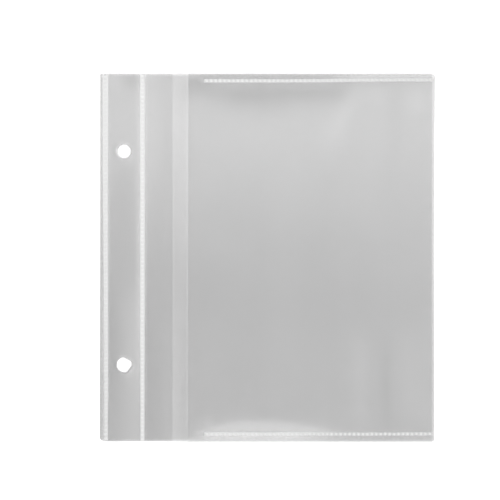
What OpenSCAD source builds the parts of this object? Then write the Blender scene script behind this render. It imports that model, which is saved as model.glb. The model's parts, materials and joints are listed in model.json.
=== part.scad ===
// Recipe card protector: a clear card pocket with a punched binding strip.
// It is two films, heat welded together. The pocket film is the back sheet, turns round at the folded
// edge and comes back as the front sheet, which ends in a loose lip. The strip film lies over the ring
// holes and runs on past the seam as a tuck flap, over the lip, so that the card can't slip out.
// It lies flat: X from the binding edge to the folded edge, Y up the page, Z towards the reader.

/* [Sheet] */
// Width, from the binding edge to the folded edge
sheet_w = 148.5; // [135:0.5:220]
// Height, from the bottom edge to the top edge
sheet_h = 163.5; // [120:0.5:300]
// Thickness of one layer of film
film_t = 0.1; // [0.06:0.01:0.2]
// Rounding of the top corner at the binding edge
corner_top_left = 0.6; // [0.2:0.1:3]
// Rounding of the bottom corner at the binding edge
corner_bottom_left = 2; // [0.2:0.1:3]
// Rounding of the top corner at the folded edge
corner_top_right = 2; // [0.4:0.1:3]
// Rounding of the bottom corner at the folded edge
corner_bottom_right = 0.9; // [0.4:0.1:3]

/* [Binding strip] */
// Diameter of the ring holes
hole_d = 6.2; // [4:0.1:8]
// Distance from the binding edge to the middle of the ring holes
hole_edge = 10.6; // [8.5:0.1:12.5]
// Distance between the middles of the two ring holes
hole_pitch = 95; // [60:0.5:110]
// Air between the strip's two films
strip_gap = 0.1; // [0.06:0.01:0.3]
// Distance from the binding edge to the middle of the edge weld
edge_weld_at = 2.5; // [1.8:0.1:3.5]
// Width of the edge weld
edge_weld_w = 1.9; // [1.5:0.1:2.4]
// Film left past the two ends of the edge weld
edge_weld_end = 0.4; // [0.2:0.1:3]
// Distance from the binding edge to the middle of the seam weld
seam_weld_at = 18.8; // [17.5:0.1:22]
// Width of the seam weld
seam_weld_w = 2.2; // [1.9:0.1:3]

/* [Pocket] */
// Room for cards between the back and the front film
pocket_gap = 0.3; // [0.2:0.05:1]
// Distance from the binding edge to the free edge of the lip
lip_at = 32.2; // [28:0.1:36]
// Distance from the binding edge to the free edge of the tuck flap
flap_at = 39.4; // [37:0.1:44]
// Distance from the binding edge to the start of the top and bottom welds
pocket_weld_at = 46.3; // [45:0.1:60]
// Distance from the end of these welds to the folded edge
pocket_weld_end = 1; // [0.9:0.1:4]
// Distance from the top edge to the middle of the top weld
top_weld_at = 2.7; // [2:0.1:6]
// Distance from the bottom edge to the middle of the bottom weld
bottom_weld_at = 3.3; // [2:0.1:6]
// Width of the top and bottom welds
pocket_weld_w = 1.6; // [1.5:0.1:2.4]

/* [Weld dots] */
// Diameter of the dots that the sealing wheel leaves
dot_d = 1.4; // [0.8:0.1:1.45]
// Height of the dots above the film
dot_h = 0.05; // [0.02:0.01:0.1]
// Distance from dot to dot on the two welds of the strip
strip_dot_pitch = 1.85; // [1.6:0.05:3]
// Distance from dot to dot on the top and bottom welds
pocket_dot_pitch = 1.97; // [1.6:0.01:3]

/* [Clearances] */
// Gap between a film and the round edge that it turns beside
hinge_gap = 0.05; // [0.03:0.01:0.1]
// Gap between the free edge of the lip and the tuck flap that lies over it
flap_gap = 0.08; // [0.05:0.01:0.3]
// Film between the fold line of the lip and the start of the top and bottom welds
lip_land = 0.5; // [0.3:0.1:2]

/* [Hidden] */
$fn = 64;

film_grey = "#c2c2c2";
film_clear = "#d2d2d2";
weld_white = "#eeeeee";

// The edges of the sheet
left = -sheet_w / 2;
right = sheet_w / 2;
bottom = -sheet_h / 2;
top = sheet_h / 2;
cut_over = 1; // how far a cut runs past the edge it cuts

// The heights of the layers, from the back sheet up
strip_front_z = film_t + strip_gap;
strip_top = strip_front_z + film_t;
front_z = film_t + pocket_gap;
front_top = front_z + film_t;
film_r = film_t / 2;

// The seam, and the line along its round nose that the page turns about
seam_x = left + seam_weld_at - seam_weld_w / 2;
seam_end = seam_x + seam_weld_w;
page_turn_r = strip_top / 2;
page_turn_x = seam_end - page_turn_r;
page_x = seam_end + hinge_gap;

// The lip, which turns about the middle of its fold line
lip_x = left + lip_at;
lip_turn_x = left + pocket_weld_at - lip_land;
lip_turn_z = front_z + film_r;
front_x = lip_turn_x + film_r + hinge_gap;

// The tuck flap, which turns about the middle of its own root and slopes up to clear the lip's free edge
flap_turn_x = page_x + film_r;
flap_turn_z = strip_front_z + film_r;
flap_run = lip_x - flap_turn_x;
flap_rise = front_top + flap_gap - flap_turn_z;
flap_slope = atan2(flap_rise, flap_run) + asin(film_r / norm([flap_run, flap_rise]));
flap_l = (left + flap_at - flap_turn_x) / cos(flap_slope);

// The folded edge, a half tube round the pocket
fold_r = front_top / 2;
fold_x = right - fold_r;

// The welds
edge_weld_l = sheet_h - 2 * edge_weld_end;
pocket_weld_x = left + pocket_weld_at;
pocket_weld_l = right - pocket_weld_end - pocket_weld_x;
top_weld_y = top - top_weld_at;
bottom_weld_y = bottom + bottom_weld_at;

// What a rounding of radius r takes off one corner: x_way and y_way are 1 or -1 and point out of it
module corner_waste(x_way, y_way, r) {
  translate([x_way * (sheet_w / 2 - r), y_way * (sheet_h / 2 - r)])
    difference() {
      translate([min(0, x_way) * (r + cut_over), min(0, y_way) * (r + cut_over)])
        square(r + cut_over);
      circle(r);
    }
}

// The stretch of the whole sheet's outline between two distances across it
module sheet_stretch(from_x, to_x) {
  difference() {
    translate([from_x, bottom])
      square([to_x - from_x, sheet_h]);
    corner_waste(-1, 1, corner_top_left);
    corner_waste(-1, -1, corner_bottom_left);
    corner_waste(1, 1, corner_top_right);
    corner_waste(1, -1, corner_bottom_right);
  }
}

// The slots that the welds fill
module edge_weld_slot() {
  translate([left + edge_weld_at - edge_weld_w / 2, -edge_weld_l / 2])
    square([edge_weld_w, edge_weld_l]);
}

module pocket_weld_slot(y) {
  translate([pocket_weld_x, y - pocket_weld_w / 2])
    square([pocket_weld_l, pocket_weld_w]);
}

// A profile in X and Z, drawn out over a length along Y
module along_y(from_y, to_y) {
  translate([0, to_y, 0])
    rotate([90, 0, 0])
      linear_extrude(to_y - from_y)
        children();
}

// A row of raised dots along X, centred in a length
module dot_row(length, pitch, film_top) {
  steps = floor((length - dot_d) / pitch);
  for (i = [0 : steps])
    translate([(length - steps * pitch) / 2 + i * pitch, 0, film_top / 2])
      cylinder(d = dot_d, h = film_top / 2 + dot_h);
}

// One layer of the strip, with the ring holes
module strip_layer() {
  linear_extrude(film_t)
    difference() {
      sheet_stretch(left, seam_x);
      edge_weld_slot();
      for (way = [-1, 1])
        translate([left + hole_edge, way * hole_pitch / 2])
          circle(d = hole_d);
    }
}

// One layer of the page, fused with its neighbour along the top and the bottom
module page_layer(from_x) {
  linear_extrude(film_t)
    difference() {
      sheet_stretch(from_x, fold_x);
      pocket_weld_slot(top_weld_y);
      pocket_weld_slot(bottom_weld_y);
    }
}

// The weld that closes the pocket along one edge
module pocket_weld(y) {
  linear_extrude(front_top)
    pocket_weld_slot(y);
  translate([pocket_weld_x, y, 0])
    dot_row(pocket_weld_l, pocket_dot_pitch, front_top);
}

module strip_back_film() {
  color(film_grey)
    strip_layer();
}

module strip_front_film() {
  color(film_clear)
    translate([0, 0, strip_front_z])
      strip_layer();
}

module edge_weld() {
  color(weld_white) {
    linear_extrude(strip_top)
      edge_weld_slot();
    translate([left + edge_weld_at, -edge_weld_l / 2, 0])
      rotate(90)
        dot_row(edge_weld_l, strip_dot_pitch, strip_top);
  }
}

// The seam has a round nose, which the page turns about
module seam_weld() {
  color(weld_white) {
    along_y(bottom, top) {
      translate([seam_x, 0])
        square([page_turn_x - seam_x, strip_top]);
      translate([page_turn_x, page_turn_r])
        circle(page_turn_r);
    }
    translate([left + seam_weld_at, bottom, 0])
      rotate(90)
        dot_row(sheet_h, strip_dot_pitch, strip_top);
  }
}

module back_film() {
  color(film_grey)
    page_layer(page_x);
}

module front_film() {
  color(film_clear)
    translate([0, 0, front_z])
      page_layer(front_x);
}

module right_fold() {
  color(film_clear)
    along_y(bottom + corner_bottom_right, top - corner_top_right)
      translate([fold_x, fold_r])
        difference() {
          circle(fold_r);
          circle(fold_r - film_t);
          translate([-fold_r - cut_over, -fold_r - cut_over])
            square([fold_r + cut_over, 2 * (fold_r + cut_over)]);
        }
}

module top_weld() {
  color(weld_white)
    pocket_weld(top_weld_y);
}

module bottom_weld() {
  color(weld_white)
    pocket_weld(bottom_weld_y);
}

// The loose end of the front sheet
module pocket_lip() {
  color(film_clear)
    along_y(bottom, top) {
      translate([lip_x, front_z])
        square([lip_turn_x - lip_x, film_t]);
      translate([lip_turn_x, lip_turn_z])
        circle(film_r);
    }
}

// The loose end of the strip film, which lies over the lip
module tuck_flap() {
  color(film_clear)
    along_y(bottom, top)
      translate([flap_turn_x, flap_turn_z])
        rotate(flap_slope) {
          translate([0, -film_r])
            square([flap_l, film_t]);
          circle(film_r);
        }
}

strip_back_film();
strip_front_film();
edge_weld();
seam_weld();
back_film();
front_film();
right_fold();
top_weld();
bottom_weld();
pocket_lip();
tuck_flap();
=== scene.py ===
import json
import math
import random

import bmesh
import bpy
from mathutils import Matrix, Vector


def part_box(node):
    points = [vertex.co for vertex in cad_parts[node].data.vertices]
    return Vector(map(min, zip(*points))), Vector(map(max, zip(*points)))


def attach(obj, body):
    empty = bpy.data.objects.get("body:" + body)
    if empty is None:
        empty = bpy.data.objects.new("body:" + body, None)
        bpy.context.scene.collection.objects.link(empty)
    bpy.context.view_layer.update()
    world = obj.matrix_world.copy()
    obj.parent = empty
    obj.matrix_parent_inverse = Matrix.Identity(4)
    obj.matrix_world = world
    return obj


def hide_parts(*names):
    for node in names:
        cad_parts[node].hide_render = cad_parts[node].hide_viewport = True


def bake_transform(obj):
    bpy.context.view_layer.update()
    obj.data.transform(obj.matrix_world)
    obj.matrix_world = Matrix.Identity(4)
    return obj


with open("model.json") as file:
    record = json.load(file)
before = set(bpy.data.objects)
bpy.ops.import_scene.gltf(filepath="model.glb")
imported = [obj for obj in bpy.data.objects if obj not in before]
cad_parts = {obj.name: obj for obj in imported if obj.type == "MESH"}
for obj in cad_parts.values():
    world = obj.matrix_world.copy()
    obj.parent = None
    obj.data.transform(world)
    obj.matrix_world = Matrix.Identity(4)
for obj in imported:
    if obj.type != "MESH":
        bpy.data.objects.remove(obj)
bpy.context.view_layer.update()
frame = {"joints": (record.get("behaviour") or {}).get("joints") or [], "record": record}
mm = 0.001
scene = bpy.context.scene

# lines of the frame that the films follow, in metres
stripLow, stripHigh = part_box("strip_back_film")
foldLow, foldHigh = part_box("right_fold")
frontLow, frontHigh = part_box("front_film")
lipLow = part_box("pocket_lip")[0]
flapLow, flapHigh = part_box("tuck_flap")
edgeLow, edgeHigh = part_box("edge_weld")
seamLow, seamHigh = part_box("seam_weld")
joints = {joint["name"]: joint for joint in frame["joints"]}
mounts = {mount["name"]: mount for mount in frame["record"]["mounts"]}
turnLine = Vector(joints["page_turn"]["pos_m"])
flapLine = Vector(joints["flap_lift"]["pos_m"])

filmThick = stripHigh.z - stripLow.z
sheetTop = stripHigh.y
sheetBottom = stripLow.y
bindingEdge = stripLow.x
foldEdge = foldHigh.x
foldLine = foldLow.x
backHeight = filmThick / 2
frontHeight = (frontLow.z + frontHigh.z) / 2
ringHoles = {}
for holeName in ("ring_hole_bottom", "ring_hole_top"):
    hole = mounts[holeName]
    ringHoles[holeName] = {"x": hole["pos_m"][0], "y": hole["pos_m"][1], "radius": hole["dims"]["r_mm"] * mm}
print("frame lines read")


# ease climbs from 0 to 1 between two places; a hump is 1 at its middle and falls off over its width
def ease(start, end, value):
    t = min(max((value - start) / (end - start), 0.0), 1.0)
    return t * t * (3 - 2 * t)


def hump(middle, width, value):
    return math.exp(-((value - middle) / width) ** 2)


def gridLines(start, *stretches):
    # places of rows or columns: each stretch has its end and about how far apart its lines are
    places = [start]
    for end, size in stretches:
        begin = places[-1]
        count = max(1, round((end - begin) / size))
        places += [begin + (end - begin) * (i + 1) / count for i in range(count)]
    return places


# the trimmed corners of the whole sheet, seen from above; a film's rows and columns are close over reach
sheetTrim = {
    "topLeft": 0.6 * mm, "bottomLeft": 2 * mm, "topRight": 1.4 * mm, "bottomRight": 1.1 * mm,
    "deepest": 0.96, "reach": 2.1 * mm,
}


def trimmed(x, y):
    # squeezes the last few mm of the sheet's height into the rounding of the nearest corner
    side = "Left" if x < 0 else "Right"
    end = "top" if y > 0 else "bottom"
    radius = sheetTrim[end + side]
    edge = bindingEdge if x < 0 else foldEdge
    into = (radius - abs(edge - x)) / radius
    if into <= 0:
        return y
    into = min(into, sheetTrim["deepest"])
    limit = sheetTop if y > 0 else sheetBottom
    start = limit - math.copysign(radius, limit)
    share = (y - start) / (limit - start)
    if share <= 0:
        return y
    return start + (limit - start) * share * math.sqrt(1 - into * into)


# the cut runs a little wide along the binding edge, most of all low down, and under the pocket
sheetCut = {
    "binding": (0.22 * mm, 0.1 * mm), "bindingUp": (-60 * mm, 10 * mm), "bindingReach": 1.5 * mm,
    "bottom": 0.18 * mm, "bottomAcross": (-46 * mm, -36 * mm), "bottomReach": 2 * mm,
}


def cutWide(x, y):
    # where a point of the flat sheet lies once the uneven cut and the trimmed corners are taken in
    low, high = sheetCut["binding"]
    wide = low + (high - low) * ease(*sheetCut["bindingUp"], y)
    wide *= ease(bindingEdge + sheetCut["bindingReach"], bindingEdge, x)
    deep = sheetCut["bottom"] * ease(*sheetCut["bottomAcross"], x)
    deep *= ease(sheetBottom + sheetCut["bottomReach"], sheetBottom, y)
    return x - wide, trimmed(x, y) - deep


def flatPanel(xs, ys):
    # a grid whose rows and columns move to the given lines, so that the film can bend where it has to
    bm = bmesh.new()
    across, up = len(xs) - 1, len(ys) - 1
    bmesh.ops.create_grid(bm, x_segments=across, y_segments=up, size=0.5)
    for v in bm.verts:
        v.co = Vector((xs[round((v.co.x + 0.5) * across)], ys[round((v.co.y + 0.5) * up)], 0))
    return bm


# the punched holes: both have flat sides (turn in degrees, distance), the lower one was torn a little
holeGrid = {"cell": 0.4 * mm, "inner": 6, "outer": 12}  # cells round a hole, counted from its middle
ringPunch = {
    "ring_hole_top": {
        "slip": (0.04 * mm, -0.27 * mm), "grow": 0.98,
        "flats": ((40, 2.86 * mm), (0, 2.87 * mm), (-40, 2.9 * mm)),
    },
    "ring_hole_bottom": {
        "slip": (0, -0.22 * mm), "grow": 1.08,
        "flats": ((62, 2.86 * mm), (-37, 2.88 * mm), (180, 3.27 * mm)),
    },
}
leastFacing = 0.1  # cosine of the angle past which a flat side no longer cuts the edge of a hole


def holeRadius(name, way):
    shape = ringPunch[name]
    radius = ringHoles[name]["radius"] * shape["grow"]
    for turn, distance in shape["flats"]:
        facing = math.cos(way - math.radians(turn))
        if facing > leastFacing:
            radius = min(radius, distance / facing)
    return radius


def punch(bm, name):
    # a square of cells comes out, and the cells round it are drawn in to the edge of the hole
    inner = holeGrid["cell"] * holeGrid["inner"]
    outer = holeGrid["cell"] * holeGrid["outer"]
    centre = Vector((ringHoles[name]["x"], ringHoles[name]["y"], 0))
    slip = Vector((*ringPunch[name]["slip"], 0))
    square = []
    for face in bm.faces:
        offset = face.calc_center_median() - centre
        if max(abs(offset.x), abs(offset.y)) < inner:
            square.append(face)
    bmesh.ops.delete(bm, geom=square, context="FACES")
    for v in bm.verts:
        offset = v.co - centre
        away = (max(abs(offset.x), abs(offset.y)) - inner) / (outer - inner)
        if away < 1:
            away = max(away, 0.0)
            radius = holeRadius(name, math.atan2(offset.y, offset.x))
            circle = offset.normalized() * (radius + (outer - radius) * away) + slip
            v.co = centre + circle.lerp(offset, away)


sharpTurn = 0.7  # an edge that turns by more radians is shaded sharp


def makePiece(name, bm, material):
    bmesh.ops.recalc_face_normals(bm, faces=bm.faces)
    for face in bm.faces:
        face.smooth = True
    for edge in bm.edges:
        if edge.calc_face_angle(0) > sharpTurn:
            edge.smooth = False
    mesh = bpy.data.meshes.new(name)
    bm.to_mesh(mesh)
    bm.free()
    mesh.materials.append(material)
    piece = bpy.data.objects.new(name, mesh)
    scene.collection.objects.link(piece)
    print("made", name, len(mesh.polygons), "faces")
    return piece


def thicken(bm, paintedLightOf):
    # the film's thickness, half to each side, and its painted light and shade and tone at each point
    bmesh.ops.recalc_face_normals(bm, faces=bm.faces)
    bm.normal_update()
    half = filmThick / 2
    for v in bm.verts:
        v.co += v.normal * half
    bmesh.ops.solidify(bm, geom=bm.faces[:], thickness=filmThick)
    haze = bm.verts.layers.float.new("haze")
    for v in bm.verts:
        v[haze] = paintedLightOf(v.co)


cutEdge = {"width": 1.3 * mm, "top": 0.75, "bottom": 1.0}  # a painted highlight along each cut end of the film


# a painted highlight along the top and bottom cut ends, for the light that a cut film edge catches
def cutHighlight(y):
    top = 1 - ease(0, cutEdge["width"], sheetTop - y)
    bottom = 1 - ease(0, cutEdge["width"], y - sheetBottom)
    return cutEdge["top"] * top + cutEdge["bottom"] * bottom


# finishes
def newFinish(name):
    material = bpy.data.materials.new(name)
    material.use_nodes = True
    nodes = material.node_tree.nodes
    links = material.node_tree.links
    return material, nodes, links, nodes["Principled BSDF"]


def objectNoise(nodes, links, stretch, scale, detail):
    place = nodes.new("ShaderNodeTexCoord")
    mapping = nodes.new("ShaderNodeMapping")
    mapping.inputs["Scale"].default_value = stretch
    noise = nodes.new("ShaderNodeTexNoise")
    noise.inputs["Scale"].default_value = scale
    noise.inputs["Detail"].default_value = detail
    links.new(place.outputs["Object"], mapping.inputs["Vector"])
    links.new(mapping.outputs["Vector"], noise.inputs["Vector"])
    return noise.outputs["Fac"]


def mapped(nodes, links, value, low, high, fromLow=0.3, fromHigh=0.7):
    node = nodes.new("ShaderNodeMapRange")
    node.inputs["From Min"].default_value = fromLow
    node.inputs["From Max"].default_value = fromHigh
    node.inputs["To Min"].default_value = low
    node.inputs["To Max"].default_value = high
    links.new(value, node.inputs["Value"])
    return node.outputs["Result"]


def combined(nodes, links, operation, first, second):
    node = nodes.new("ShaderNodeMath")
    node.operation = operation
    for socket, value in zip(node.inputs, (first, second)):
        if isinstance(value, (int, float)):
            socket.default_value = value
        else:
            links.new(value, socket)
    return node.outputs["Value"]


# the film was drawn lengthwise, which stretches its grain up the page
filmGrain = {"cloudDetail": 3, "drawnDetail": 2, "drawnStretch": 0.04, "waveDetail": 1, "glossSpread": 0.02}


def filmFinish(name, spec):
    material, nodes, links, shader = newFinish(name)
    cloud = objectNoise(nodes, links, (1, 1, 1), spec["cloudScale"], filmGrain["cloudDetail"])
    stretch = (1, filmGrain["drawnStretch"], 1)
    drawn = objectNoise(nodes, links, stretch, spec["drawnScale"], filmGrain["drawnDetail"])
    cloudTone = mapped(nodes, links, cloud, -spec["cloudTone"], spec["cloudTone"])
    lightest = spec["tone"] + spec["drawnTone"]
    drawnTone = mapped(nodes, links, drawn, spec["tone"] - spec["drawnTone"], lightest)
    # painted highlights, painted shade and lighter or darker tone from the film's vertex attribute, added to
    # its tone
    haze = nodes.new("ShaderNodeAttribute")
    haze.attribute_name = "haze"
    hazeTone = combined(nodes, links, "MULTIPLY", haze.outputs["Fac"], spec["hazeTone"])
    tone = combined(nodes, links, "ADD", combined(nodes, links, "ADD", cloudTone, drawnTone), hazeTone)
    grey = nodes.new("ShaderNodeCombineColor")
    for channel in ("Red", "Green", "Blue"):
        links.new(tone, grey.inputs[channel])
    links.new(grey.outputs["Color"], shader.inputs["Base Color"])
    glossiest = spec["roughness"] - filmGrain["glossSpread"]
    gloss = mapped(nodes, links, cloud, glossiest, spec["roughness"] + filmGrain["glossSpread"])
    links.new(gloss, shader.inputs["Roughness"])
    wave = objectNoise(nodes, links, (1, 1, 1), spec["waveScale"], filmGrain["waveDetail"])
    bump = nodes.new("ShaderNodeBump")
    bump.inputs["Strength"].default_value = 1
    bump.inputs["Distance"].default_value = spec["waveDepth"]
    links.new(wave, bump.inputs["Height"])
    links.new(bump.outputs["Normal"], shader.inputs["Normal"])
    shader.inputs["Alpha"].default_value = spec["alpha"]
    shader.inputs["IOR"].default_value = spec["ior"]
    shader.inputs["Specular IOR Level"].default_value = spec["specular"]
    shader.inputs["Coat Weight"].default_value = spec["coat"]
    shader.inputs["Coat Roughness"].default_value = spec["roughness"]
    return material


clearFilm = {
    "tone": 0.662, "cloudTone": 0.016, "drawnTone": 0.01, "hazeTone": 0.2, "alpha": 0.25,
    "roughness": 0.2, "ior": 1.54, "specular": 1.0, "coat": 1.0,
    "cloudScale": 26, "drawnScale": 260, "waveScale": 50, "waveDepth": 0.00002,
}
greyFilm = {
    "tone": 0.2, "cloudTone": 0.006, "drawnTone": 0.004, "hazeTone": 0.2, "alpha": 0.55,
    "roughness": 0.3, "ior": 1.5, "specular": 0.5, "coat": 0.3,
    "cloudScale": 18, "drawnScale": 200, "waveScale": 40, "waveDepth": 0.00002,
}
clearFinish = filmFinish("clearFilm", clearFilm)
greyFinish = filmFinish("greyFilm", greyFilm)

# whitest: the share of a bead's height from which it is at its whitest
weldFrost = {
    "crumbTone": 0.02, "crumbScale": 1400, "crumbDetail": 3, "whitest": 0.4,
    "roughness": 0.4, "alpha": 0.9, "bump": 0.3, "bumpDepth": 0.00006,
}


def weldFinish(name, spec, top, start, end):
    # frosted plastic, whiter on the beads that stand proud of the ribbon, with its own tone at each end; on
    # the edge and seam welds the lighter top end is painted light
    material, nodes, links, shader = newFinish(name)
    place = nodes.new("ShaderNodeTexCoord")
    parts = nodes.new("ShaderNodeSeparateXYZ")
    links.new(place.outputs["Object"], parts.inputs["Vector"])
    low = top + weldWheel["ribbonProud"]
    high = low + weldFrost["whitest"] * (spec["beadProud"] - weldWheel["ribbonProud"])
    proud = mapped(nodes, links, parts.outputs["Z"], 0, 1, low, high)
    axis = 0 if end.x > start.x else 1
    lengthwise = parts.outputs[axis]
    toneFrom, toneTo = [start[axis] + (end[axis] - start[axis]) * share for share in spec["toneOver"]]
    ribbonTone = mapped(nodes, links, lengthwise, *spec["ribbonTone"], toneFrom, toneTo)
    beadTone = mapped(nodes, links, lengthwise, *spec["beadTone"], toneFrom, toneTo)
    whiter = combined(nodes, links, "SUBTRACT", beadTone, ribbonTone)
    frost = combined(nodes, links, "ADD", ribbonTone, combined(nodes, links, "MULTIPLY", whiter, proud))
    crumb = objectNoise(nodes, links, (1, 1, 1), weldFrost["crumbScale"], weldFrost["crumbDetail"])
    crumbTone = mapped(nodes, links, crumb, -weldFrost["crumbTone"], weldFrost["crumbTone"])
    tone = combined(nodes, links, "ADD", frost, crumbTone)
    white = nodes.new("ShaderNodeCombineColor")
    for channel in ("Red", "Green", "Blue"):
        links.new(tone, white.inputs[channel])
    links.new(white.outputs["Color"], shader.inputs["Base Color"])
    bump = nodes.new("ShaderNodeBump")
    bump.inputs["Strength"].default_value = weldFrost["bump"]
    bump.inputs["Distance"].default_value = weldFrost["bumpDepth"]
    links.new(crumb, bump.inputs["Height"])
    links.new(bump.outputs["Normal"], shader.inputs["Normal"])
    shader.inputs["Roughness"].default_value = weldFrost["roughness"]
    shader.inputs["Alpha"].default_value = weldFrost["alpha"]
    return material


print("finishes made")

# the fold: the back sheet turns up to its outermost line, and the front sheet comes down to meet it there
# the fold also carries a painted highlight, wider than the light that its bend catches
pageFold = {
    "steps": 6, "flare": 0.28 * mm, "flareReach": 5 * mm, "flareUp": (48 * mm, 80 * mm),
    "haze": 0.6, "hazeGain": 0.4, "hazeGainUp": (-60 * mm, 0),
    "hazeLoss": 0.3, "hazeLossUp": (15 * mm, 45 * mm),
}
foldRadius = (frontHeight - backHeight) / 2
quarterTurn = foldRadius * math.pi / 2


def foldBend(x):
    # a film that runs on past the fold line goes round: where it gets to, and how far it has risen
    if x <= foldLine:
        return x, 0.0
    angle = (x - foldLine) / foldRadius
    return foldLine + foldRadius * math.sin(angle), foldRadius * (1 - math.cos(angle))


def foldHighlightAt(y):
    # how strong the painted highlight along the fold is, most of all in the middle of the page
    spec = pageFold
    haze = spec["haze"] + spec["hazeGain"] * ease(*spec["hazeGainUp"], y)
    return haze - spec["hazeLoss"] * ease(*spec["hazeLossUp"], y)


def foldFlare(x, y):
    # the fold opens a little towards the top corner
    spec = pageFold
    return spec["flare"] * ease(foldLine - spec["flareReach"], foldLine, x) * ease(*spec["flareUp"], y)


# back sheet: from the binding edge under everything to the folded edge
backSheet = {
    "step": 3 * mm, "cornerStep": 0.3 * mm, "bendStep": 0.12 * mm, "bendReach": (0.3 * mm, 1.2 * mm),
    "foldReach": 2 * mm, "crease": 1.2 * mm, "creaseHaze": 1.1,
}


def holeRows(spec):
    # rows for the cells round the ring holes, with wider rows between them
    cell = holeGrid["cell"]
    reach = cell * holeGrid["outer"]
    stretches = [(sheetBottom + sheetTrim["reach"], spec["cornerStep"])]
    for ring in ringHoles.values():
        stretches += [(ring["y"] - reach, spec["step"]), (ring["y"] + reach, cell)]
    stretches += [(sheetTop - sheetTrim["reach"], spec["step"]), (sheetTop, spec["cornerStep"])]
    return gridLines(sheetBottom, *stretches)


def holeColumns(spec, end, *further):
    # columns from the binding edge past the ring holes to an end, and further stretches after it
    cell = holeGrid["cell"]
    reach = cell * holeGrid["outer"]
    holeLine = ringHoles["ring_hole_top"]["x"]
    return gridLines(
        bindingEdge, (bindingEdge + sheetTrim["reach"], spec["cornerStep"]),
        (holeLine - reach, cell), (holeLine + reach, cell), (end, cell), *further,
    )


def creaseHaze(co):
    # a painted highlight where the back sheet starts to turn up
    return backSheet["creaseHaze"] * ease(foldLine - backSheet["crease"], foldLine, co.x) * foldHighlightAt(co.y)


def makeBackSheet():
    spec = backSheet
    before, past = spec["bendReach"]
    columns = holeColumns(
        spec, seamHigh.x - before, (seamHigh.x + past, spec["bendStep"]),
        (foldLine - spec["foldReach"], spec["step"]), (foldLine, spec["cornerStep"]),
        (foldLine + quarterTurn, quarterTurn / pageFold["steps"]),
    )
    bm = flatPanel(columns, holeRows(spec))
    for name in ringHoles:
        punch(bm, name)
    for v in bm.verts:
        x, rise = foldBend(v.co.x)
        flare = foldFlare(x, v.co.y)
        x, y = cutWide(x, v.co.y)
        v.co = Vector((x + flare, y, backHeight + rise))
    thicken(bm, creaseHaze)
    piece = makePiece("back_sheet", bm, greyFinish)
    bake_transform(piece)
    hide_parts("strip_back_film", "back_film")


makeBackSheet()

# strip film: bowed up between its two welds, most of all at the top
stripFilm = {
    "step": 2.4 * mm, "cornerStep": 0.3 * mm, "bendStep": 0.1 * mm, "bendReach": 0.3 * mm,
    "pressed": 0.16 * mm, "margin": 0.2 * mm, "marginShare": (0, -0.1),
    "bow": (0.45 * mm, 0.9 * mm), "bowRise": (-10 * mm, 50 * mm), "bowPower": 1.2,
    "endDrop": 0.03 * mm, "endReach": 4 * mm,
    "underFlap": 0.15 * mm, "endHeight": 0.13 * mm, "endShare": (1, 1.05),
    # in the keys below: painted highlights beside the seam weld, beside the edge weld and along the binding
    # edge, a lighter margin, and a painted light and shade lean low down
    "seamGlow": 0.65, "glowReach": 3 * mm, "glowUp": (-70 * mm, -25 * mm),
    "middleGlow": 0.35, "middleGlowHump": (0, 30 * mm),
    "weldGlow": 1.05, "weldGlowReach": 1.2 * mm, "weldGlowFoot": 0.25, "weldGlowFootUp": (-75 * mm, -55 * mm),
    "weldGlowLoss": 0.45, "weldGlowLossUp": (15 * mm, 50 * mm),
    "bindingHaze": (0.0, 1.2), "bindingHazeUp": (-60 * mm, 60 * mm), "bindingHazeWidth": 0.5 * mm,
    "marginHaze": 0.15, "marginHazeEnd": 0.2 * mm, "edgeGlow": 1.1, "edgeGlowAcross": (0.5 * mm, 0.1 * mm),
    "lean": 0.5, "leanShift": 0.8, "leanAcross": (4 * mm, 15 * mm), "leanUp": (-30 * mm, 2 * mm),
    "leanFoot": 0.6, "leanFootUp": (-75 * mm, -50 * mm),
}
# painted light (+) and shade (-) patches in the strip: middle, half width, half height, strength
stripLightAndShade = (
    (-60 * mm, 78 * mm, 4 * mm, 3 * mm, -0.55),
    (-68.5 * mm, 79 * mm, 4 * mm, 5 * mm, 0.4),
    (-64 * mm, 27 * mm, 9 * mm, 13 * mm, -0.27),
    (-74 * mm, -30 * mm, 2 * mm, 35 * mm, 0.4),
    (-68 * mm, 9 * mm, 3.5 * mm, 14 * mm, -0.18),
)
markFocus = 3  # the power that narrows a mark round the turn that it is at
# painted light and shade rings round parts of the holes, where the punched rim catches or loses the light:
# turn in degrees, strength, distance from the hole, width
holeLightAndShade = {
    "ring_hole_top": (
        (183, 1.6, 0.25 * mm, 0.6 * mm), (175, -0.8, 1.45 * mm, 0.45 * mm), (80, 0.5, 0.3 * mm, 0.6 * mm),
        (0, -0.8, 0.4 * mm, 0.4 * mm), (0, 0.65, 1.15 * mm, 0.3 * mm), (20, -0.4, 2.2 * mm, 0.5 * mm),
        (-40, 0.45, 1.7 * mm, 0.7 * mm),
    ),
    "ring_hole_bottom": (
        (62, 0.2, 0.5 * mm, 0.5 * mm), (178, -0.75, 0.8 * mm, 0.45 * mm), (-37, -1.05, 0.4 * mm, 0.4 * mm),
        (-37, 0.9, 1.4 * mm, 0.5 * mm), (10, -0.4, 2.3 * mm, 0.4 * mm), (-10, 0.3, 2.9 * mm, 0.4 * mm),
        (125, 0.3, 0.4 * mm, 0.5 * mm),
    ),
}
edgeMiddle = (edgeLow.x + edgeHigh.x) / 2
seamMiddle = (seamLow.x + seamHigh.x) / 2


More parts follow.
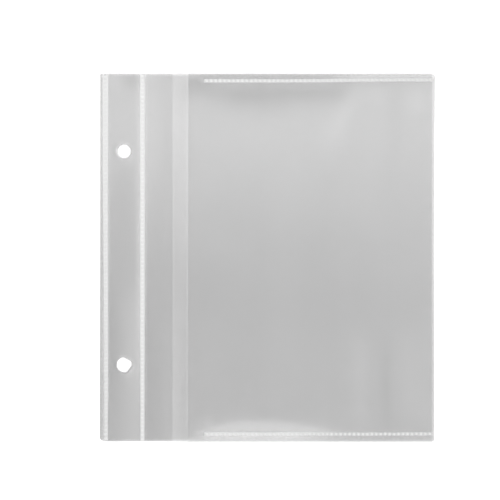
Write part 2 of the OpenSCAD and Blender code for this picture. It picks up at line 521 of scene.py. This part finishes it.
def stripHeight(x, y):
    # across runs from 0 on the edge weld to 1 on the seam weld
    spec = stripFilm
    across = (x - edgeMiddle) / (seamMiddle - edgeMiddle)
    if across < 0:
        return spec["pressed"] + (spec["margin"] - spec["pressed"]) * ease(*spec["marginShare"], across)
    low, high = spec["bow"]
    bow = low + (high - low) * ease(*spec["bowRise"], y)
    bow -= spec["endDrop"] * (1 - ease(0, spec["endReach"], sheetTop - y))
    height = spec["pressed"] + (spec["endHeight"] - spec["pressed"]) * ease(*spec["endShare"], across)
    return height + bow * math.sin(math.pi * min(across, 1.0)) ** spec["bowPower"]


# painted light and shade on the strip film: highlights beside the welds and along the binding edge, a lighter
# margin, the cut ends' highlight, patches, a lean and arcs round the holes
def stripPaintedLight(co):
    spec = stripFilm
    # painted highlight beside the seam weld, where the bowed film would catch the light
    glow = spec["seamGlow"] + spec["middleGlow"] * hump(*spec["middleGlowHump"], co.y)
    glow *= ease(*spec["glowUp"], co.y)
    haze = glow * ease(seamLow.x - spec["glowReach"], seamLow.x, co.x)
    # painted highlight beside the edge weld
    beside = ease(edgeMiddle, edgeHigh.x, co.x)
    beside *= 1 - ease(edgeHigh.x, edgeHigh.x + spec["weldGlowReach"], co.x)
    beside *= 1 - spec["weldGlowLoss"] * ease(*spec["weldGlowLossUp"], co.y)
    foot = spec["weldGlowFoot"]
    haze += spec["weldGlow"] * beside * (foot + (1 - foot) * ease(*spec["weldGlowFootUp"], co.y))
    # painted highlight along the binding edge
    low, high = spec["bindingHaze"]
    binding = low + (high - low) * ease(*spec["bindingHazeUp"], co.y)
    haze += binding * (1 - ease(bindingEdge, bindingEdge + spec["bindingHazeWidth"], co.x))
    # painted light: the margin left of the edge weld is lighter, most of all next to the weld, lifting the
    # shade there
    glowStart, glowEnd = spec["edgeGlowAcross"]
    margin = spec["marginHaze"] + spec["edgeGlow"] * ease(bindingEdge + glowStart, edgeLow.x + glowEnd, co.x)
    haze += cutHighlight(co.y) + margin * (1 - ease(edgeLow.x + spec["marginHazeEnd"], edgeMiddle, co.x))
    for x, y, wide, high, strength in stripLightAndShade:
        haze += strength * hump(x, wide, co.x) * hump(y, high, co.y)
    # painted light and shade: low on the page the strip is darker on the left and lighter on the right, as
    # the light from that side falls
    leanStart, leanEnd = spec["leanAcross"]
    lean = 2 * ease(bindingEdge + leanStart, bindingEdge + leanEnd, co.x) - spec["leanShift"]
    foot = spec["leanFoot"]
    lean *= ease(edgeMiddle, edgeHigh.x, co.x) * (foot + (1 - foot) * ease(*spec["leanFootUp"], co.y))
    haze += spec["lean"] * lean * (1 - ease(*spec["leanUp"], co.y))
    for name, marks in holeLightAndShade.items():
        x = co.x - ringHoles[name]["x"] - ringPunch[name]["slip"][0]
        y = co.y - ringHoles[name]["y"] - ringPunch[name]["slip"][1]
        way = math.atan2(y, x)
        past = math.hypot(x, y) - holeRadius(name, way)
        for turn, strength, distance, width in marks:
            facing = max(0.0, math.cos(way - math.radians(turn)))
            haze += strength * facing ** markFocus * hump(distance, width, past)
    return haze


def makeStripFilm():
    spec = stripFilm
    underFlap = (flapLow.x + spec["underFlap"], spec["bendStep"])
    columns = holeColumns(spec, turnLine.x - spec["bendReach"], underFlap)
    bm = flatPanel(columns, holeRows(spec))
    for name in ringHoles:
        punch(bm, name)
    for v in bm.verts:
        height = stripHeight(v.co.x, v.co.y)
        v.co = Vector((*cutWide(v.co.x, v.co.y), height))
    thicken(bm, stripPaintedLight)
    piece = makePiece("strip_film", bm, clearFinish)
    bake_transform(piece)
    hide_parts("strip_front_film")


makeStripFilm()

# front sheet: loose lip, slack pocket front and the fold, in one film
frontSheet = {
    "step": 1.7 * mm, "weldStep": 0.8 * mm, "edgeStep": 0.3 * mm, "edgeReach": 5.1 * mm,
    "lipReach": 0.9 * mm, "foldReach": 2 * mm, "bottomWeldReach": 18 * mm, "topWeldReach": 22 * mm,
    "lipRise": (-45 * mm, -34 * mm), "foldFall": (58 * mm, 73.6 * mm), "taut": 0.2 * mm,
    "topMarginFlat": (18 * mm, 46 * mm),
    "topSlack": 0.88 * mm, "topSlackEnd": (30 * mm, 42 * mm),
    "topSlackLeft": 0.65, "topSlackStart": (-32 * mm, -10 * mm),
    "topReach": 10 * mm, "topLobe": 0.65 * mm, "topLobeAt": -3 * mm, "topLobeWidth": 10 * mm,
    "bottomSlack": 1.05 * mm, "bottomSlackStart": (-36 * mm, -8 * mm), "bottomSlackEnd": (-7 * mm, 40 * mm),
    "bottomReach": 4 * mm, "weldHalf": 0.5 * mm, "weldHalfStart": 3 * mm,
    "topMarginDrop": 0.14 * mm, "bottomMarginDrop": 0.28 * mm,
    "bottomMarginStart": (-38 * mm, -24 * mm), "bottomMarginEnd": (6 * mm, 50 * mm),
    # in the keys below: painted highlights along the lip, the fold and the cut ends, painted light below the
    # top weld, and lighter film in the corner, the margins and beside the welds
    "lipHaze": (0.9, 0.4), "lipHazeUp": (0, 50 * mm), "lipHazeWidth": 1.1 * mm,
    "foldHaze": 1.1, "foldHazeWidth": 1.7 * mm, "foldHazeFull": 0.2 * mm,
    "weldHaze": 0.6, "weldHazeReach": 7 * mm, "weldHazeStart": (-2 * mm, 8 * mm),
    "cornerHaze": 0.6, "cornerReach": 3.5 * mm, "looseReach": 10 * mm,
    "topCutClear": 1.2, "looseCutCloud": 0.5, "bottomCutClear": 0.8,
    "topMarginHaze": (0.3, 0.75), "bottomMarginHaze": (0.1, 0.75), "hazeFrom": (0.5 * mm, 1.1 * mm),
    "halo": 0.5, "haloReach": (0.5 * mm, 1.6 * mm), "haloStart": 1 * mm, "haloFade": (20 * mm, 60 * mm),
}
streakFade = (-0.3, 0.2)  # a streak fades in over these shares of its length, and out likewise
# painted light (+) and shade (-) streaks in the front sheet: from, to, half width, strength
lightAndShadeStreaks = (
    ((27 * mm, 51 * mm), (39 * mm, 74 * mm), 4 * mm, 0.35),
    ((41 * mm, -76 * mm), (41 * mm, -36 * mm), 4.5 * mm, 0.25),
    ((64 * mm, -76 * mm), (64 * mm, -36 * mm), 6 * mm, 0.12),
    ((53 * mm, -76 * mm), (52.5 * mm, -38 * mm), 2 * mm, -0.3),
    ((57 * mm, 46 * mm), (57 * mm, 70 * mm), 2.2 * mm, -0.25),
    ((48 * mm, 69 * mm), (51 * mm, 75 * mm), 3.5 * mm, 0.35),
    ((66 * mm, 65 * mm), (66.5 * mm, 74 * mm), 5 * mm, 0.3),
    ((-25 * mm, -19 * mm), (60 * mm, -19 * mm), 14 * mm, -0.14),
    ((37 * mm, -74.5 * mm), (70 * mm, -74.5 * mm), 4 * mm, -0.16),
    ((-35 * mm, 19 * mm), (-7 * mm, 17 * mm), 11 * mm, -0.14),
    ((-4 * mm, -70 * mm), (15 * mm, -71 * mm), 7 * mm, -0.17),
    ((-30.5 * mm, 79.3 * mm), (-28.5 * mm, 79.3 * mm), mm, 0.55),
    ((-31.5 * mm, -78.2 * mm), (-28.5 * mm, -78.2 * mm), 1.3 * mm, 0.7),
    ((-31 * mm, -73.7 * mm), (-24 * mm, -73.7 * mm), 1.9 * mm, 0.32),
)
topLow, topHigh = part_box("top_weld")
bottomLow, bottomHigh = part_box("bottom_weld")
topWeldDrop = 0.33 * mm  # the top weld lies this far below its line in the frame
topWeldLine = (topLow.y + topHigh.y) / 2 - topWeldDrop
bottomWeldLine = (bottomLow.y + bottomHigh.y) / 2


def topSlackAt(x):
    # the stretch where the film under the top weld is slack
    return 1 - ease(*frontSheet["topSlackEnd"], x)


def topMarginAt(x):
    # the stretch where the margin over the top weld lies flat and cloudy
    return ease(*frontSheet["topMarginFlat"], x)


def bottomSlackAt(x):
    # the stretch where the film over the bottom weld is slack
    return ease(*frontSheet["bottomSlackStart"], x) * (1 - ease(*frontSheet["bottomSlackEnd"], x))


def bottomMarginAt(x):
    # the stretch where the margin under the bottom weld bends down to the back sheet and is cloudy
    return ease(*frontSheet["bottomMarginStart"], x) * (1 - ease(*frontSheet["bottomMarginEnd"], x))


def weldedHalf(x):
    # half the width that the welds hold flat: nothing in the loose corners to the left of them
    return frontSheet["weldHalf"] * ease(topLow.x - frontSheet["weldHalfStart"], topLow.x, x)


def pastWelds(x, y):
    # how far up and how far down the margin a point lies, 0 to 1, outside the top and bottom welds
    half = weldedHalf(x)
    up = (y - topWeldLine - half) / (sheetTop - topWeldLine - half)
    down = (bottomWeldLine - half - y) / (bottomWeldLine - half - sheetBottom)
    return min(max(up, 0.0), 1.0), min(max(down, 0.0), 1.0)


def pocketHeight(x, y):
    # the front sheet is held down by the welds, the lip and the fold, and slack between them
    spec = frontSheet
    below = max(0.0, topWeldLine - weldedHalf(x) - y)
    above = max(0.0, y - bottomWeldLine - weldedHalf(x))
    swell = (1 - math.exp(-below / spec["topReach"])) * (1 - math.exp(-above / spec["bottomReach"]))
    upward = above / (above + below) if above + below > 0 else 0.5
    left = spec["topSlackLeft"]
    topSlack = spec["topSlack"] * (left + (1 - left) * ease(*spec["topSlackStart"], x)) * topSlackAt(x)
    topSlack += spec["topLobe"] * hump(spec["topLobeAt"], spec["topLobeWidth"], x)
    slack = topSlack * upward + spec["bottomSlack"] * bottomSlackAt(x) * (1 - upward)
    across = ease(*spec["lipRise"], x) * (1 - ease(*spec["foldFall"], x))
    up, down = pastWelds(x, y)
    drop = spec["topMarginDrop"] * up * (1 - topMarginAt(x))
    drop += spec["bottomMarginDrop"] * down * bottomMarginAt(x)
    return frontHeight + (spec["taut"] + slack) * across * swell - drop


def looseCorner(x):
    # the stretch to the left of the welds, where the corners are loose
    return 1 - ease(flapHigh.x, flapHigh.x + frontSheet["looseReach"], x)


def marginHaze(x, y):
    # the film is lighter outside the two welds, and in the loose bottom corner to the left of them
    spec = frontSheet
    least, most = spec["topMarginHaze"]
    clear, cloudy = spec["hazeFrom"]
    haze = (least + (most - least) * topMarginAt(x)) * ease(clear, cloudy, y - topWeldLine)
    least, most = spec["bottomMarginHaze"]
    haze += (least + (most - least) * bottomMarginAt(x)) * ease(clear, cloudy, bottomWeldLine - y)
    low = 1 - ease(0, spec["cornerReach"], y - sheetBottom)
    return haze + spec["cornerHaze"] * looseCorner(x) * low


def weldHalo(x, y):
    # the film is lighter close beside the two welds, least of all at the right end of the top one
    spec = frontSheet
    near = 1 - ease(*spec["haloReach"], abs(y - bottomWeldLine))
    near += (1 - ease(*spec["haloReach"], abs(y - topWeldLine))) * (1 - ease(*spec["haloFade"], x))
    return spec["halo"] * near * ease(topLow.x - spec["haloStart"], topLow.x, x)


# painted light and shade and lighter tone on the front sheet: cut ends, margins, weld sides, lip, fold, below
# the top weld, and streaks
def frontPaintedLight(co):
    spec = frontSheet
    # painted highlight along the cut ends: weaker where the margins lie flat, stronger in the loose top
    # corner
    if co.y > 0:
        dimmed = spec["topCutClear"] * topMarginAt(co.x) - spec["looseCutCloud"] * looseCorner(co.x)
    else:
        dimmed = spec["bottomCutClear"] * bottomMarginAt(co.x)
    haze = cutHighlight(co.y) * (1 - dimmed) + marginHaze(co.x, co.y) + weldHalo(co.x, co.y)
    # painted highlight along the lip's free edge
    low, high = spec["lipHaze"]
    lip = low + (high - low) * ease(*spec["lipHazeUp"], co.y)
    haze += lip * (1 - ease(lipLow.x, lipLow.x + spec["lipHazeWidth"], co.x))
    # painted highlight along the fold, wider than the thin highlight that its bend catches
    fold = ease(foldEdge - spec["foldHazeWidth"], foldLine - spec["foldHazeFull"], co.x)
    haze += spec["foldHaze"] * fold * foldHighlightAt(co.y)
    # painted light that lifts the shaded, slack film just below the top weld
    if co.y < topWeldLine:
        near = 1 - ease(0, spec["weldHazeReach"], topWeldLine - co.y)
        haze += spec["weldHaze"] * near * topSlackAt(co.x) * ease(*spec["weldHazeStart"], co.x - topLow.x)
    for start, end, width, strength in lightAndShadeStreaks:
        along = Vector(end) - Vector(start)
        offset = co.xy - Vector(start)
        share = offset.dot(along) / along.length_squared
        aside = offset.cross(along) / along.length
        haze += strength * hump(0, width, aside) * ease(*streakFade, share) * ease(*streakFade, 1 - share)
    return haze


def makeFrontSheet():
    spec = frontSheet
    columns = gridLines(
        lipLow.x, (lipLow.x + spec["lipReach"], spec["edgeStep"]),
        (foldLine - spec["foldReach"], spec["step"]), (foldLine, spec["edgeStep"]),
        (foldLine + quarterTurn, quarterTurn / pageFold["steps"]),
    )
    rows = gridLines(
        sheetBottom, (sheetBottom + spec["edgeReach"], spec["edgeStep"]),
        (sheetBottom + spec["bottomWeldReach"], spec["weldStep"]),
        (sheetTop - spec["topWeldReach"], spec["step"]),
        (sheetTop - spec["edgeReach"], spec["weldStep"]), (sheetTop, spec["edgeStep"]),
    )
    bm = flatPanel(columns, rows)
    for v in bm.verts:
        x, fall = foldBend(v.co.x)
        height = pocketHeight(v.co.x, v.co.y) if v.co.x <= foldLine else frontHeight - fall
        flare = foldFlare(x, v.co.y)
        x, y = cutWide(x, v.co.y)
        v.co = Vector((x + flare, y, height))
    thicken(bm, frontPaintedLight)
    piece = makePiece("front_sheet", bm, clearFinish)
    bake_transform(piece)
    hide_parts("front_film", "pocket_lip", "right_fold")


makeFrontSheet()

# tuck flap: the strip film's loose end, draped over the lip
tuckFlap = {
    "step": 1.2 * mm, "rowStep": 2.5 * mm, "edgeStep": 0.3 * mm, "edgeReach": 1.5 * mm, "endReach": 1.2 * mm,
    "rootStep": 0.5 * mm, "rootReach": 5 * mm, "air": 0.08 * mm, "drape": 8 * mm, "drapeSoft": 0.06 * mm,
    "trim": (0.3 * mm, 0.12 * mm), "trimUp": (-10 * mm, 100 * mm),
    # in the keys below: painted highlights along the free edge and the cut ends, painted light at the root
    # and towards the top, a lighter patch low down, and a painted light and shade lean across the lower flap
    "haze": -0.14, "endHaze": 0.5,
    "edgeHaze": (0.5, 0.3), "edgeHazeUp": (0, 40 * mm), "edgeHazeWidth": 1.1 * mm,
    "rootHaze": 0.6, "rootHazeWidth": 1.3 * mm, "middleRoot": 0.45, "middleRootHump": (-5 * mm, 35 * mm),
    "lowCloud": 0.25, "lowCloudHumpAcross": (-51 * mm, 4 * mm), "lowCloudHumpUp": (-22 * mm, 16 * mm),
    "topHaze": 0.52, "topHazeUp": (0, 65 * mm), "bandShare": 0.25,
    "lean": 0.2, "leanShift": 1.3, "leanUp": (-30 * mm, 5 * mm),
    "bandLean": (0.1, -0.25), "bandStart": 1 * mm,
}


def flapEdge(y):
    # the free edge isn't quite straight up the page: it was trimmed a little closer lower down
    low, high = tuckFlap["trim"]
    return flapHigh.x - low - (high - low) * ease(*tuckFlap["trimUp"], y)


def flapHeight(x, y):
    # rises in a straight line from the seam, and lifts where the front sheet under it stands higher
    spec = tuckFlap
    share = (x - flapLow.x) / (flapHigh.x - flapLow.x)
    straight = flapLine.z + (flapHigh.z - filmThick / 2 - flapLine.z) * share
    over = pocketHeight(x, y) + filmThick + spec["air"] - straight
    lifted = (over + math.hypot(over, spec["drapeSoft"])) / 2
    return straight + lifted * ease(lipLow.x - spec["drape"], lipLow.x, x)


# painted light and shade on the flap: highlights along its free edge and cut ends, light at its root, lighter
# towards the top, a lighter patch low down, and a lean across it
def flapPaintedLight(co):
    spec = tuckFlap
    across = ease(flapLow.x, lipLow.x, co.x)
    edge = flapEdge(co.y)
    # painted highlight along the free edge
    low, high = spec["edgeHaze"]
    edgeHaze = low + (high - low) * ease(*spec["edgeHazeUp"], co.y)
    haze = spec["haze"] + edgeHaze * ease(edge - spec["edgeHazeWidth"], edge, co.x)
    # painted light along the root, lifting the shadow beside the seam weld
    root = spec["rootHaze"] + spec["middleRoot"] * hump(*spec["middleRootHump"], co.y)
    haze += root * (1 - ease(flapLow.x, flapLow.x + spec["rootHazeWidth"], co.x))
    # a lighter patch low on the flap
    haze += spec["lowCloud"] * hump(*spec["lowCloudHumpAcross"], co.x) * hump(*spec["lowCloudHumpUp"], co.y)
    # painted highlight along the cut ends, stronger on the flap
    haze += cutHighlight(co.y) * (1 + spec["endHaze"])
    # painted light: the flap is lighter towards the top, where the overhead light is stronger
    topShare = 1 - (1 - spec["bandShare"]) * across
    haze += spec["topHaze"] * topShare * ease(*spec["topHazeUp"], co.y)
    # painted light and shade: low on the page the flap is darker on the left and lighter on the right
    inner, outer = spec["bandLean"]
    band = lipLow.x + spec["bandStart"]
    lean = spec["lean"] * (2 * across - spec["leanShift"]) + inner * ease(lipLow.x, band, co.x)
    lean += (outer - inner) * ease(band, edge, co.x)
    return haze + lean * (1 - ease(*spec["leanUp"], co.y))


def makeTuckFlap():
    spec = tuckFlap
    columns = gridLines(
        flapLow.x, (flapLow.x + spec["rootReach"], spec["rootStep"]),
        (flapHigh.x - spec["edgeReach"], spec["step"]), (flapHigh.x, spec["edgeStep"]),
    )
    rows = gridLines(
        sheetBottom, (sheetBottom + spec["endReach"], spec["edgeStep"]),
        (sheetTop - spec["endReach"], spec["rowStep"]), (sheetTop, spec["edgeStep"]),
    )
    bm = flatPanel(columns, rows)
    for v in bm.verts:
        v.co.x += (flapEdge(v.co.y) - flapHigh.x) * ease(lipLow.x, flapHigh.x, v.co.x)
        v.co.z = flapHeight(v.co.x, v.co.y)
    thicken(bm, flapPaintedLight)
    piece = makePiece("tuck_flap_film", bm, clearFinish)
    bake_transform(piece)
    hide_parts("tuck_flap")


makeTuckFlap()

# welds: a frosted ribbon with the beads that the sealing wheel pressed into it
# ribbonRound is a share of the weld's height, for edges that turn by more radians than ribbonSharp
weldWheel = {
    "ribbonProud": 0.03 * mm, "ribbonRound": 0.3, "ribbonSharp": 1, "beadsPerCut": 3,
    "beadRings": (10, 6), "jitter": 0.05 * mm, "swell": (0.9, 1.08),
}
# at the start and the end of a weld: the ribbon's width, its lean aside, its tone and the tone of the beads;
# lean changes over the shares of the length in sway, and the tones over those in toneOver;
# beads: distance aside, width and length of each row; beadTaper: the share of their width lost by the end
topWeld = {
    "ribbon": (1.45 * mm, 1.4 * mm), "lean": (-0.12 * mm, 0.38 * mm), "sway": (0.35, 0.95),
    "toneOver": (0, 1), "ribbonTone": (0.547, 0.545), "beadTone": (0.645, 0.567),
    "beads": ((0.11 * mm, 1.8 * mm, 1.5 * mm),),
    "count": 51, "beadTaper": 0.2, "beadProud": 0.17 * mm, "seed": 13,
}
bottomWeld = {
    "ribbon": (1.5 * mm, 1.25 * mm), "lean": (-0.03 * mm, 0.1 * mm), "sway": (0.8, 1.0),
    "toneOver": (0.38, 0.6), "ribbonTone": (0.545, 0.44), "beadTone": (0.57, 0.56),
    "beads": ((0.03 * mm, 1.7 * mm, 1.4 * mm),),
    "count": 51, "beadTaper": 0, "beadProud": 0.16 * mm, "seed": 14,
}
# the edge and seam welds are painted lighter towards the top of the page, where the overhead light is
# stronger
edgeWeld = {
    "ribbon": (1.45 * mm, 2.5 * mm), "lean": (-0.13 * mm, 0.28 * mm), "sway": (0.15, 0.75),
    "toneOver": (0, 1), "ribbonTone": (0.53, 0.597), "beadTone": (0.578, 0.652),
    "beads": ((-0.15 * mm, 1.2 * mm, 1.15 * mm), (0.6 * mm, 0.8 * mm, 1.15 * mm)),
    "count": 87, "beadTaper": 0, "beadProud": 0.11 * mm, "seed": 11,
}
seamWeld = {
    "ribbon": (1.85 * mm, 2.1 * mm), "lean": (0.05 * mm, 0.0), "sway": (0.15, 0.75),
    "toneOver": (0, 1), "ribbonTone": (0.545, 0.615), "beadTone": (0.605, 0.685),
    "beads": ((0.15 * mm, 1.5 * mm, 1.2 * mm),),
    "count": 87, "beadTaper": 0, "beadProud": 0.12 * mm, "seed": 12,
}


def weldLean(spec, share):
    # how far aside a weld lies, which changes over a stretch of its length
    leanFrom, leanTo = spec["lean"]
    return leanFrom + (leanTo - leanFrom) * ease(*spec["sway"], share)


def makeWeld(node, body, spec, start, end, top):
    dice = random.Random(spec["seed"])
    along = (end - start).normalized()
    across = Vector((-along.y, along.x, 0))
    length = (end - start).length
    bm = bmesh.new()
    widthFrom, widthTo = spec["ribbon"]
    bmesh.ops.create_cube(bm, size=1)
    lengthwise = [edge for edge in bm.edges if abs((edge.verts[0].co - edge.verts[1].co).dot(along)) > 0.5]
    cuts = spec["count"] // weldWheel["beadsPerCut"]
    bmesh.ops.subdivide_edges(bm, edges=lengthwise, cuts=cuts, use_grid_fill=True)
    for v in bm.verts:
        share = v.co.dot(along) + 0.5
        side = math.copysign(widthFrom + (widthTo - widthFrom) * share, v.co.dot(across)) / 2
        side += weldLean(spec, share)
        rise = top + weldWheel["ribbonProud"] if v.co.z > 0 else -weldWheel["ribbonProud"]
        v.co = start + along * length * share + across * side + Vector((0, 0, rise))
    corners = [edge for edge in bm.edges if edge.calc_face_angle(0) > weldWheel["ribbonSharp"]]
    rounding = top * weldWheel["ribbonRound"]
    bmesh.ops.bevel(bm, geom=corners, offset=rounding, affect="EDGES", segments=2, profile=0.5, material=-1)
    around, upward = weldWheel["beadRings"]
    pitch = length / spec["count"]
    for rowAside, wide, deep in spec["beads"]:
        bead = bmesh.ops.create_uvsphere(bm, u_segments=around, v_segments=upward, radius=0.5)
        size = along * deep + across * wide
        size = Vector((abs(size.x), abs(size.y), 2 * spec["beadProud"]))
        bmesh.ops.scale(bm, vec=size, verts=bead["verts"])
        first = start + along * pitch / 2 + across * rowAside + Vector((0, 0, top))
        bmesh.ops.translate(bm, vec=first, verts=bead["verts"])
        earlier = set(bm.verts) - set(bead["verts"])
        faces = list({face for v in bead["verts"] for face in v.link_faces})
        bmesh.ops.spin(bm, geom=faces, axis=(0, 0, 1), dvec=along * pitch, angle=0,
                       steps=spec["count"] - 1, use_duplicate=True)
        swells = [dice.uniform(*weldWheel["swell"]) for i in range(spec["count"])]
        slips = [dice.uniform(-1, 1) * weldWheel["jitter"] for i in range(spec["count"])]
        for v in set(bm.verts) - earlier:
            i = int((v.co - start).dot(along) / pitch)
            share = (i + 0.5) / spec["count"]
            middle = first + along * pitch * i
            offset = (v.co - middle) * swells[i]
            offset -= across * offset.dot(across) * spec["beadTaper"] * share
            v.co = middle + offset + across * (slips[i] + weldLean(spec, share))
    piece = makePiece(node + "_row", bm, weldFinish(node + "_frost", spec, top, start, end))
    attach(piece, body)
    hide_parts(node)


stripWeldTop = stripFilm["pressed"] + filmThick / 2
makeWeld("edge_weld", "binding_strip", edgeWeld, Vector((edgeMiddle, edgeLow.y, 0)),
         Vector((edgeMiddle, edgeHigh.y, 0)), stripWeldTop)
makeWeld("seam_weld", "binding_strip", seamWeld, Vector((seamMiddle, seamLow.y, 0)),
         Vector((seamMiddle, seamHigh.y, 0)), stripWeldTop)
makeWeld("top_weld", "page", topWeld, Vector((topLow.x, topWeldLine, 0)),
         Vector((topHigh.x, topWeldLine, 0)), frontHigh.z)
makeWeld("bottom_weld", "page", bottomWeld, Vector((bottomLow.x, bottomWeldLine, 0)),
         Vector((bottomHigh.x, bottomWeldLine, 0)), frontHigh.z)

# floor, light and camera
floorSpec = {"size": 9.0, "drop": 0.3 * mm, "tone": 0.93, "roughness": 0.8}


def makeFloor():
    bm = bmesh.new()
    bmesh.ops.create_grid(bm, x_segments=1, y_segments=1, size=floorSpec["size"] / 2)
    bmesh.ops.translate(bm, vec=(0, 0, -floorSpec["drop"]), verts=bm.verts)
    material, nodes, links, shader = newFinish("paleFloor")
    shader.inputs["Base Color"].default_value = (floorSpec["tone"],) * 3 + (1,)
    shader.inputs["Roughness"].default_value = floorSpec["roughness"]
    makePiece("floor", bm, material)


makeFloor()

# places in metres; the overhead light fades towards the reader in two steps
studio = {
    "skyStrength": 0.95, "height": 0.618,
    "overhead": {"x": (-0.5, 0.5), "y": (0.085, 0.188), "radiance": 3.5},
    "overheadSoft": {"x": (-0.5, 0.5), "y": (0.015, 0.085), "radiance": 1.65},
    "right": {"x": (0.15, 0.5), "y": (-0.45, -0.02), "radiance": 0.6},
    "near": {"x": (-0.2, 0.35), "y": (-0.6, -0.25), "radiance": 3.4},
}


def softbox(name):
    spec = studio[name]
    light = bpy.data.lights.new(name + "Softbox", "AREA")
    light.shape = "RECTANGLE"
    light.size = spec["x"][1] - spec["x"][0]
    light.size_y = spec["y"][1] - spec["y"][0]
    light.energy = spec["radiance"] * math.pi * light.size * light.size_y
    lamp = bpy.data.objects.new(name + "Softbox", light)
    lamp.location = (sum(spec["x"]) / 2, sum(spec["y"]) / 2, studio["height"])
    lamp.visible_camera = False
    scene.collection.objects.link(lamp)


for boxName in ("overhead", "overheadSoft", "right", "near"):
    softbox(boxName)
world = bpy.data.worlds.new("studioSky")
world.use_nodes = True
world.node_tree.nodes["Background"].inputs["Color"].default_value = (1, 1, 1, 1)
world.node_tree.nodes["Background"].inputs["Strength"].default_value = studio["skyStrength"]
scene.world = world
scene.view_settings.view_transform = "Standard"

# the photo is square on: these pixels place the middle of the sheet in it
photo = {"side": 500, "mmPerPixel": 0.445, "middle": (267.2, 257.6), "lens": 100, "sensor": 36}


def makeCamera():
    camera = bpy.data.cameras.new("camera")
    camera.lens = photo["lens"]
    camera.sensor_width = photo["sensor"]
    scale = photo["mmPerPixel"] * mm
    distance = photo["side"] * scale * photo["lens"] / photo["sensor"]
    eye = bpy.data.objects.new("camera", camera)
    half = photo["side"] / 2
    eye.location = ((half - photo["middle"][0]) * scale, (photo["middle"][1] - half) * scale, distance)
    scene.collection.objects.link(eye)
    scene.camera = eye


makeCamera()
print("studio made")
